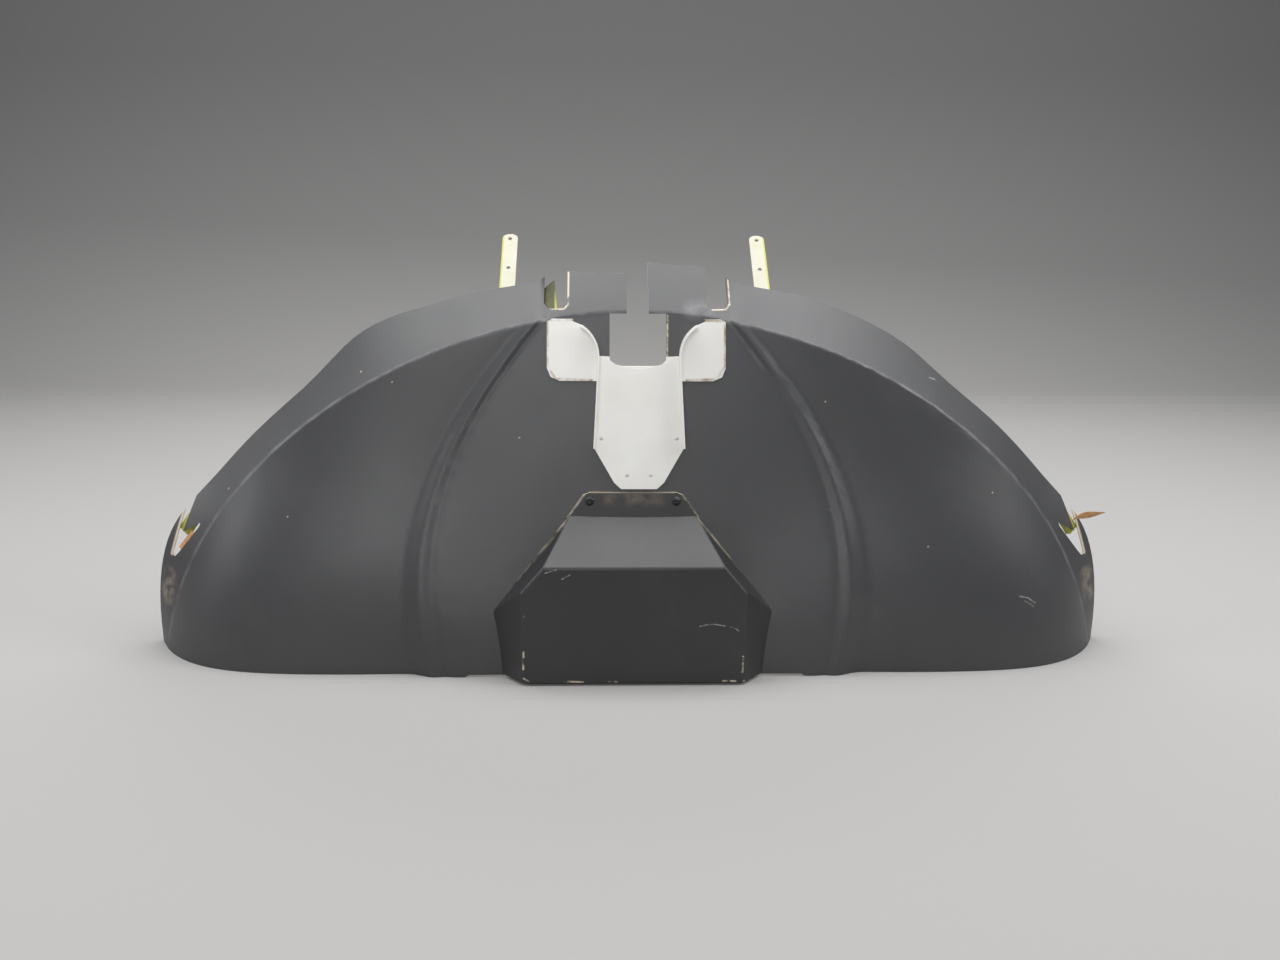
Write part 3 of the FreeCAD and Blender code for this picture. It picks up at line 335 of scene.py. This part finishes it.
def moulded_finish(recipe, sheen):
    """A satin skin with a fine leather-like grain."""
    recipe.shader.inputs["Specular IOR Level"].default_value = sheen
    glossy = recipe.noise(9.0, detail=3.0, rough=0.6)
    rough = recipe.spread(glossy, "Fac", 0.0, 1.0, least=MOULD_SMOOTHEST, most=MOULD_ROUGHEST)
    recipe.tree.links.new(rough, recipe.shader.inputs["Roughness"])
    grain = recipe.noise(MOULD_GRAIN_SCALE, detail=3.0, rough=0.65)
    recipe.bump(grain, 0.22, MOULD_GRAIN_DEPTH)


def moulded_shell():
    recipe = Recipe("moulded_black_shell")
    shade = moulded_shade(recipe, CHARCOAL, CHARCOAL_PALE)
    both = recipe.front_place(mirrored=True)
    flat = recipe.front_place()
    # A lighter line along the crease: partly a rubbed edge, partly a painted highlight where the
    # bend catches the light.
    shade = recipe.mark(
        shade, both, [crease_line()], CREASE_RUB_AND_HIGHLIGHT_WIDTH, RUB_AND_HIGHLIGHT_GREY,
        wear=(60.0, 0.28, 0.62), strength=0.55)
    shade = recipe.mark(
        shade, both, [FLANGE_SMUDGE], SMUDGE_WIDTH, SMUDGE_BEIGE, wear=(90.0, 0.35, 0.6))
    # A painted highlight on the tab.
    shade = recipe.mark(
        shade, flat, [TAB_SHINE], SMUDGE_WIDTH, RUB_AND_HIGHLIGHT_GREY, wear=(70.0, 0.3, 0.6), strength=0.6)
    shade = recipe.mark(
        shade, flat, LOBE_SCRATCHES, LOBE_SCRATCH_WIDTH, SCRATCH_GREY,
        wear=(150.0, 0.36, 0.6), strength=0.6)
    dots = [[(x, z), (x + SPECK_LENGTH[0], z + SPECK_LENGTH[1])] for x, z in SPECKS]
    shade = recipe.mark(shade, flat, dots, SPECK_WIDTH, CREAM, strength=0.7)
    shade = recipe.mark(
        shade, flat, SLOT_RIMS + NOTCH_RIMS, SHELL_RIM_WIDTH, CREAM, wear=(110.0, 0.32, 0.52))
    shade = recipe.mark(shade, both, [FLANGE_EDGE], FLANGE_EDGE_WIDTH, CREAM)
    recipe.colour_from(shade)
    moulded_finish(recipe, SHELL_SHEEN)
    return recipe.material


def moulded_inside():
    recipe = Recipe("moulded_black_inside")
    recipe.colour_from(moulded_shade(recipe, CHARCOAL, CHARCOAL_PALE))
    moulded_finish(recipe, SHELL_SHEEN)
    return recipe.material


def moulded_hood():
    recipe = Recipe("moulded_black_hood")
    shade = moulded_shade(recipe, HOOD_CHARCOAL, HOOD_CHARCOAL_PALE)
    flat = recipe.front_place()
    shade = recipe.mark(
        shade, flat, [HOOD_BROWN_PATCH], HOOD_BROWN_WIDTH, WORN_BROWN,
        wear=(60.0, 0.36, 0.62), strength=0.75)
    shade = recipe.mark(
        shade, flat, HOOD_RIMS, HOOD_RIM_WIDTH, CREAM, wear=(75.0, 0.38, 0.62), strength=0.55)
    shade = recipe.mark(shade, flat, [HOOD_FLANGE_TOP], HOOD_FLANGE_TOP_WIDTH, WORN_BROWN)
    shade = recipe.mark(
        shade, flat, HOOD_CHIPS, HOOD_CHIP_WIDTH, CREAM, wear=(120.0, 0.44, 0.56))
    shade = recipe.mark(
        shade, flat, HOOD_SCRATCHES + HOOD_SCUFFS, HOOD_SCRATCH_WIDTH, SCRATCH_GREY,
        wear=(200.0, 0.32, 0.54), strength=0.7)
    recipe.colour_from(shade)
    moulded_finish(recipe, HOOD_SHEEN)
    return recipe.material


def aluminium_sheet():
    """Bare sheet, stained in places, with brown painted shade along the ears' edges and upright
    brushing.
    """
    recipe = Recipe("bare_aluminium")
    recipe.set(Metallic=0.15, Roughness=0.42)
    stained = recipe.noise(11.0, detail=4.0, rough=0.6)
    shade = recipe.ramp(stained, "Fac", [(0.3, BARE_ALUMINIUM), (0.8, STAINED_ALUMINIUM)])
    # Brown painted shade along the ears' edges, where the edges and the gap beside them lie in
    # shadow.
    shade = recipe.mark(
        shade, recipe.front_place(), EAR_RIMS, EAR_RIM_WIDTH, ALUMINIUM_EDGE_SHADE,
        wear=(60.0, 0.34, 0.62))
    recipe.colour_from(shade)
    recipe.bump(recipe.noise(220.0, stretch=(1.0, 1.0, 0.08)), 0.12, SHEET_GRAIN_DEPTH)
    return recipe.material


def primed_leg():
    """Painted pale as a highlight where the leg faces the front, yellow-green primer on its flange.
    """
    recipe = Recipe("primed_leg")
    recipe.set(Roughness=0.5)
    blotchy = recipe.noise(40.0, detail=3.0, rough=0.6)
    # The front face is painted pale as a highlight; the flange keeps the primer's own colour.
    shade = recipe.ramp(blotchy, "Fac", [(0.35, PRIMER_PAINTED_HIGHLIGHT), (0.8, PRIMER_PAINTED_HIGHLIGHT_WORN)])
    aside = recipe.distance_aside(recipe.place_parts())
    flange = recipe.spread(aside, 0, LEG_FLANGE_FROM / MM, LEG_FLANGE_TO / MM)
    recipe.colour_from(recipe.over(shade, flange, PRIMER))
    return recipe.material


def primed_base():
    """The plates under the legs: painted dark olive as shade in the slots, with a yellow edge."""
    recipe = Recipe("primed_base")
    recipe.set(Roughness=0.5)
    blotchy = recipe.noise(50.0, detail=3.0, rough=0.6)
    # Painted shade: the primer is darkened where the plates sit in the shadow of the slots.
    shade = recipe.ramp(blotchy, "Fac", [(0.35, PRIMER_PAINTED_SHADE), (0.8, PRIMER_PAINTED_SHADE_WORN)])
    shade = recipe.mark(shade, recipe.front_place(), [BASE_EDGE], BASE_EDGE_WIDTH, PRIMER)
    recipe.colour_from(shade)
    return recipe.material


def plain(name, colour, roughness, metallic=0.0, grain_scale=300.0, grain=0.1):
    recipe = Recipe(name)
    recipe.set(Base_Color=colour, Roughness=roughness, Metallic=metallic)
    recipe.bump(recipe.noise(grain_scale), grain, SHEET_GRAIN_DEPTH)
    return recipe.material


def leaf_tan():
    recipe = Recipe("tan_strip")
    recipe.set(Roughness=0.6)
    mottled = recipe.noise(120.0, detail=4.0, rough=0.65)
    stops = [(0.3, TAN_DARK), (0.55, TAN), (0.8, TAN_PALE)]
    recipe.colour_from(recipe.ramp(mottled, "Fac", stops))
    recipe.bump(mottled, 0.5, LEAF_GRAIN_DEPTH)
    return recipe.material


finish = {
    "moulded_shell": moulded_shell(),
    "moulded_hood": moulded_hood(),
    "moulded_inside": moulded_inside(),
    "cut_edge": plain("cut_edge", CREAM, 0.8, grain_scale=700.0, grain=0.4),
    "bare_aluminium": aluminium_sheet(),
    "primed_leg": primed_leg(),
    "primed_base": primed_base(),
    "primed_aluminium": plain("primed_aluminium", PRIMER, 0.55),
    "screw_steel": plain("screw_steel", DARK_STEEL, 0.35, metallic=0.5),
    "washer_steel": plain("washer_steel", WASHER_GREY, 0.32, metallic=0.6),
    "rivet_aluminium": plain("rivet_aluminium", STEEL, 0.4, metallic=0.8),
    "tan_strip": leaf_tan(),
}

NODE_FINISH = {
    "shell": "moulded_shell",
    "hood": "moulded_hood",
    "hood_screws": "screw_steel",
    "hood_washers": "washer_steel",
    "hood_nutplates": "rivet_aluminium",
    "post_channel": "bare_aluminium",
    "post_ear_plate": "bare_aluminium",
    "leg_left": "primed_leg",
    "leg_right": "primed_leg",
    "leg_base_left": "primed_base",
    "leg_base_right": "primed_base",
    "leg_rivets_left": "rivet_aluminium",
    "leg_rivets_right": "rivet_aluminium",
    "end_bracket_left": "primed_aluminium",
    "end_bracket_right": "primed_aluminium",
    "end_strip_left": "tan_strip",
    "end_strip_right": "tan_strip",
}
for name, kind in NODE_FINISH.items():
    thing = nodes[name]
    thing.data.materials.clear()
    thing.data.materials.append(finish[kind])


def clear_selection():
    if bpy.context.object and bpy.context.object.mode != "OBJECT":
        bpy.ops.object.mode_set(mode="OBJECT")
    bpy.ops.object.select_all(action="DESELECT")


def take_up(thing):
    clear_selection()
    thing.select_set(True)
    bpy.context.view_layer.objects.active = thing


MERGE_DISTANCE = 0.00002


def merged_copy(node_name, piece_name):
    """A copy of a CAD node with its loose triangles joined up."""
    piece = nodes[node_name].copy()
    piece.data = nodes[node_name].data.copy()
    piece.name = piece_name
    bpy.context.scene.collection.objects.link(piece)
    take_up(piece)
    bpy.ops.object.mode_set(mode="EDIT")
    bpy.ops.mesh.select_all(action="SELECT")
    bpy.ops.mesh.remove_doubles(threshold=MERGE_DISTANCE)
    bpy.ops.object.mode_set(mode="OBJECT")
    return piece


def smooth_by_angle(piece, degrees):
    take_up(piece)
    bpy.ops.object.shade_smooth_by_angle(angle=math.radians(degrees))


# The two moulded pieces: their skins, their cut edges and their shading

SKIN_BEND = 50.0
SHELL_BEND = 35.0
HOOD_BEND = 40.0
FLAT_BEND = 0.6
HOOD_FLAT_AREA = 0.0003
SAME_SIDE = 0.75


def skin_islands(piece, degrees):
    """Groups of faces that run on into each other at less than an angle, the largest first."""
    form = bmesh.new()
    form.from_mesh(piece.data)
    form.faces.ensure_lookup_table()
    angle = math.radians(degrees)
    seen = set()
    islands = []
    for face in form.faces:
        if face.index in seen:
            continue
        stack = [face]
        seen.add(face.index)
        members = []
        area = 0.0
        while stack:
            current = stack.pop()
            members.append(current.index)
            area += current.calc_area()
            for edge in current.edges:
                if len(edge.link_faces) != 2 or edge.calc_face_angle(0.0) > angle:
                    continue
                for other in edge.link_faces:
                    if other.index not in seen:
                        seen.add(other.index)
                        stack.append(other)
        islands.append((area, members))
    form.free()
    islands.sort(reverse=True)
    return islands


def cream_edges(piece):
    """Gives all but the two large skins the finish of the cut edge, and returns those two."""
    piece.data.materials.append(finish["cut_edge"])
    islands = skin_islands(piece, SKIN_BEND)
    for area, members in islands[2:]:
        for index in members:
            piece.data.polygons[index].material_index = 1
    return islands[:2]


def plain_inside(piece, skins):
    """The skin that faces into the hollow, the deeper of the two, has none of the marks."""
    faces = piece.data.polygons
    piece.data.materials.append(finish["moulded_inside"])

    def depth(skin):
        area, members = skin
        return sum(faces[index].center.y * faces[index].area for index in members) / area

    for index in max(skins, key=depth)[1]:
        faces[index].material_index = 2


def shade_skins(piece, skins, degrees):
    """Shades each skin from its own faces alone, so that a thin cut edge darkens nothing."""
    mesh = piece.data
    around = {}
    for number, (area, members) in enumerate(skins):
        for index in members:
            face = mesh.polygons[index]
            for vertex in face.vertices:
                around.setdefault((vertex, number), []).append((face.normal.copy(), face.area))
    least = math.cos(math.radians(degrees))
    normals = [item.vector.copy() for item in mesh.corner_normals]
    for number, (area, members) in enumerate(skins):
        for index in members:
            face = mesh.polygons[index]
            for corner in face.loop_indices:
                total = Vector()
                for normal, share in around[(mesh.loops[corner].vertex_index, number)]:
                    if normal.dot(face.normal) > least:
                        total += normal * share
                normals[corner] = total.normalized()
    mesh.normals_split_custom_set(normals)


def shade_flats(piece, least_area):
    """Shades each large flat face evenly, and lets the bends turn from one to the next."""
    mesh = piece.data
    flat_normal = {}
    choices = {}
    for area, members in skin_islands(piece, FLAT_BEND):
        if area < least_area:
            break
        normal = Vector()
        for index in members:
            normal += mesh.polygons[index].normal * mesh.polygons[index].area
        normal.normalize()
        for index in members:
            flat_normal[index] = normal
            for vertex in mesh.polygons[index].vertices:
                choices.setdefault(vertex, []).append(normal)
    normals = [item.vector.copy() for item in mesh.corner_normals]
    for face in mesh.polygons:
        for corner in face.loop_indices:
            if face.index in flat_normal:
                normals[corner] = flat_normal[face.index]
                continue
            near = choices.get(mesh.loops[corner].vertex_index, [])
            close = [normal for normal in near if normal.dot(face.normal) > SAME_SIDE]
            if close:
                normals[corner] = max(close, key=face.normal.dot)
    mesh.normals_split_custom_set(normals)


LIFT_HEIGHT = 0.0085
LIFT_MIDDLE = -0.312
LIFT_REACH = 0.062
LIFT_ABOVE = 0.25
LIFT_ASIDE = -0.12
LIFT_WAY = Vector((-0.5, 0.85, 0.87))
BAND_START = -0.012
BAND_END = 0.030


def lift_left_shoulder(piece):
    """The band stands a little higher at its left shoulder than at its right one."""
    for vertex in piece.data.vertices:
        place = vertex.co
        if place.z < LIFT_ABOVE or place.x > LIFT_ASIDE:
            continue
        share = min(1.0, max(0.0, (place.y - BAND_START) / (BAND_END - BAND_START)))
        rise = LIFT_HEIGHT * share * math.exp(-((place.x - LIFT_MIDDLE) / LIFT_REACH) ** 2)
        vertex.co = place + LIFT_WAY * rise
    piece.data.update()


shell_skin = merged_copy("shell", "shell_moulding")
shell_skins = cream_edges(shell_skin)
plain_inside(shell_skin, shell_skins)
lift_left_shoulder(shell_skin)
smooth_by_angle(shell_skin, SHELL_BEND)
shade_skins(shell_skin, shell_skins, SHELL_BEND)
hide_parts("shell")
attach(shell_skin, "root")

hood_skin = merged_copy("hood", "hood_moulding")
cream_edges(hood_skin)
smooth_by_angle(hood_skin, HOOD_BEND)
shade_flats(hood_skin, HOOD_FLAT_AREA)
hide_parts("hood")
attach(hood_skin, "root")

# The loose strip at the right end: a twisted leaf, drawn as a curve with a width and a turn.
# Each of its places has X, Y and Z in metres, a share of the width and a turn in degrees.

LEAF_PLACES = [
    (0.5243, 0.0172, 0.1450, 0.35, 70),
    (0.5280, 0.0172, 0.1495, 0.45, 62),
    (0.5330, 0.0175, 0.1532, 0.70, 42),
    (0.5400, 0.0178, 0.1552, 1.00, 18),
    (0.5480, 0.0180, 0.1563, 1.00, 8),
    (0.5580, 0.0180, 0.1577, 0.60, 14),
    (0.5650, 0.0178, 0.1588, 0.25, 24),
    (0.5682, 0.0177, 0.1594, 0.05, 30),
]
LEAF_HALF_WIDTH = 0.0042
LEAF_HALF_THICKNESS = 0.0004
LEAF_BEND = 50.0


def twisted_leaf():
    clear_selection()
    bpy.ops.curve.primitive_nurbs_path_add(location=(0, 0, 0))
    leaf = bpy.context.object
    leaf.name = "peeled_leaf"
    path = leaf.data
    path.splines.clear()
    spline = path.splines.new("NURBS")
    spline.points.add(len(LEAF_PLACES) - 1)
    for point, (x, y, z, width, turn) in zip(spline.points, LEAF_PLACES):
        point.co = (x, y, z, 1)
        point.radius = width
        point.tilt = math.radians(turn)
    spline.use_endpoint_u = True
    spline.order_u = 4
    spline.resolution_u = 8
    path.twist_mode = "Z_UP"
    path.extrude = LEAF_HALF_WIDTH
    path.bevel_depth = LEAF_HALF_THICKNESS
    path.bevel_resolution = 1
    path.use_fill_caps = True
    bpy.ops.object.convert(target="MESH")
    leaf = bpy.context.object
    leaf.data.materials.clear()
    leaf.data.materials.append(finish["tan_strip"])
    smooth_by_angle(leaf, LEAF_BEND)
    return leaf


leaf = twisted_leaf()
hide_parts("end_strip_right")
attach(leaf, "root")

# The hood's screws, with a hexagonal socket in each head

SOCKET_RADIUS = 0.0013
SOCKET_DEPTH = 0.0012
SOCKET_RISE = 0.0004
SCREW_BEND = 30.0


def socketed_screws():
    screws = merged_copy("hood_screws", "hood_screw_heads")
    low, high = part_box("hood_screws")
    middle = (low.x + high.x) / 2
    span = (high.x - low.x) / 2 - (high.z - low.z) / 2
    for side in (-1, 1):
        head_y = min(vertex.co.y for vertex in screws.data.vertices)
        centre = Vector((middle + side * span, head_y, (low.z + high.z) / 2 + SOCKET_RISE))
        clear_selection()
        bpy.ops.mesh.primitive_cylinder_add(
            vertices=6, radius=SOCKET_RADIUS, depth=2 * SOCKET_DEPTH,
            location=centre, rotation=(math.radians(90), 0, 0))
        drill = bpy.context.object
        take_up(screws)
        bpy.ops.object.modifier_add(type="BOOLEAN")
        screws.modifiers[-1].object = drill
        screws.modifiers[-1].operation = "DIFFERENCE"
        bpy.ops.object.modifier_apply(modifier=screws.modifiers[-1].name)
        bpy.data.objects.remove(drill, do_unlink=True)
    smooth_by_angle(screws, SCREW_BEND)
    return screws


screw_heads = socketed_screws()
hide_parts("hood_screws")
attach(screw_heads, "root")

# The studio: floor and wall in one sweep, soft lamps and pale air

FLOOR_HALF = 7.0
BACK_AT = 2.6
WALL_HEIGHT = 4.0
SWEEP_RADIUS = 0.8
SWEEP_STEPS = 12
WALL_SHADE_HEIGHT = 0.9
EDGE_NEAR = 0.001


def select_floor_edge(sweep, at):
    """In edit mode, selects the edge of the floor that lies at a depth."""
    bpy.ops.mesh.select_all(action="DESELECT")
    form = bmesh.from_edit_mesh(sweep.data)
    for edge in form.edges:
        ends = [vertex.co for vertex in edge.verts]
        if all(abs(end.y - at) < EDGE_NEAR and abs(end.z) < EDGE_NEAR for end in ends):
            edge.select_set(True)
    bmesh.update_edit_mesh(sweep.data)


def studio_sweep():
    """A floor that curves up into the wall behind, in one sheet."""
    clear_selection()
    bpy.ops.mesh.primitive_plane_add(size=2 * FLOOR_HALF, location=(0, 0, 0))
    sweep = bpy.context.object
    sweep.name = "studio_floor"
    bpy.ops.object.mode_set(mode="EDIT")
    bpy.ops.mesh.select_mode(type="EDGE")
    select_floor_edge(sweep, FLOOR_HALF)
    bpy.ops.transform.translate(value=(0, BACK_AT - FLOOR_HALF, 0))
    select_floor_edge(sweep, BACK_AT)
    bpy.ops.mesh.extrude_region_move(TRANSFORM_OT_translate={"value": (0, 0, WALL_HEIGHT)})
    select_floor_edge(sweep, BACK_AT)
    bpy.ops.mesh.bevel(offset=SWEEP_RADIUS, segments=SWEEP_STEPS, affect="EDGES")
    bpy.ops.mesh.select_all(action="SELECT")
    bpy.ops.mesh.faces_shade_smooth()
    bpy.ops.object.mode_set(mode="OBJECT")
    recipe = Recipe("studio_floor")
    # The sheet is painted darker from the floor up the wall: painted shade, as if less light
    # reached it higher up.
    stops = [(0.0, FLOOR_GREY), (WALL_SHADE_HEIGHT, WALL_PAINTED_SHADE_GREY)]
    recipe.colour_from(recipe.ramp(recipe.place_parts(), "Z", stops))
    recipe.set(Roughness=0.9)
    recipe.shader.inputs["Specular IOR Level"].default_value = 0.1
    sweep.data.materials.append(recipe.material)


# Name, place, what it points at, width, height and watts
LAMPS = [
    ("lamp_above", (0.0, 0.0, 1.9), (0, 0, 0.2), 3.0, 1.1, 44),
    ("lamp_behind", (0.1, 1.65, 1.50), (0, 0, 0.35), 3.2, 0.8, 25),
    ("lamp_left", (-2.3, -0.3, 1.25), (0, 0, 0.25), 0.9, 0.9, 13),
    ("lamp_right", (2.1, -0.5, 1.55), (0, 0, 0.25), 0.9, 0.9, 17),
    ("lamp_front", (-0.4, -2.3, 1.25), (0, 0, 0.25), 1.5, 0.9, 15),
]
AIR_COLOUR = (0.9, 0.92, 0.95, 1)
AIR_STRENGTH = 0.22


def soft_lamp(name, place, aim, width, height, power):
    data = bpy.data.lights.new(name, "AREA")
    data.shape = "RECTANGLE"
    data.size = width
    data.size_y = height
    data.energy = power
    lamp = bpy.data.objects.new(name, data)
    lamp.location = place
    lamp.rotation_euler = (Vector(aim) - Vector(place)).to_track_quat("-Z", "Y").to_euler()
    bpy.context.scene.collection.objects.link(lamp)


def studio_air():
    world = bpy.data.worlds.new("studio_air")
    bpy.context.scene.world = world
    world.use_nodes = True
    background = world.node_tree.nodes["Background"]
    background.inputs["Color"].default_value = AIR_COLOUR
    background.inputs["Strength"].default_value = AIR_STRENGTH


studio_sweep()
for lamp in LAMPS:
    soft_lamp(*lamp)
studio_air()
bpy.context.scene.view_settings.view_transform = "Standard"

# The camera where the photographer stood

PITCH = math.radians(14.0)
TURN = math.radians(-1.9)
ROLL = math.radians(0.5)
FOCAL_PIXELS = 1204.0
IMAGE_WIDTH = 1280.0
MIDDLE_PIXEL = 635.5
SENSOR_WIDTH = 36.0
STAND_OFF = 1.274
EYE_HEIGHT = 0.543
PIVOT_DEPTH = 0.060
HOOD_REACH = 0.037


def photo_camera():
    """Stands where the photo was taken. Its distances start a little behind the hood's front."""
    hood_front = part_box("hood")[0].y + HOOD_REACH
    turn = Matrix.Rotation(TURN, 3, "Z")
    pivot = Vector((0, PIVOT_DEPTH, 0))
    spot = turn @ (Vector((0, -STAND_OFF, EYE_HEIGHT)) - pivot) + pivot
    ahead = turn @ Vector((0, math.cos(PITCH), -math.sin(PITCH)))
    right = turn @ Vector((1, 0, 0))
    up = right.cross(ahead)
    rolled_right = math.cos(ROLL) * right + math.sin(ROLL) * up
    rolled_up = -math.sin(ROLL) * right + math.cos(ROLL) * up
    pose = Matrix((rolled_right, rolled_up, -ahead)).transposed().to_4x4()
    pose.translation = spot + Vector((0, hood_front, 0))
    data = bpy.data.cameras.new("photo_camera")
    data.sensor_width = SENSOR_WIDTH
    data.lens = SENSOR_WIDTH * FOCAL_PIXELS / IMAGE_WIDTH
    data.shift_x = (IMAGE_WIDTH / 2 - MIDDLE_PIXEL) / IMAGE_WIDTH
    data.clip_start = 0.05
    data.clip_end = 50
    camera = bpy.data.objects.new("photo_camera", data)
    camera.matrix_world = pose
    bpy.context.scene.collection.objects.link(camera)
    bpy.context.scene.camera = camera


photo_camera()
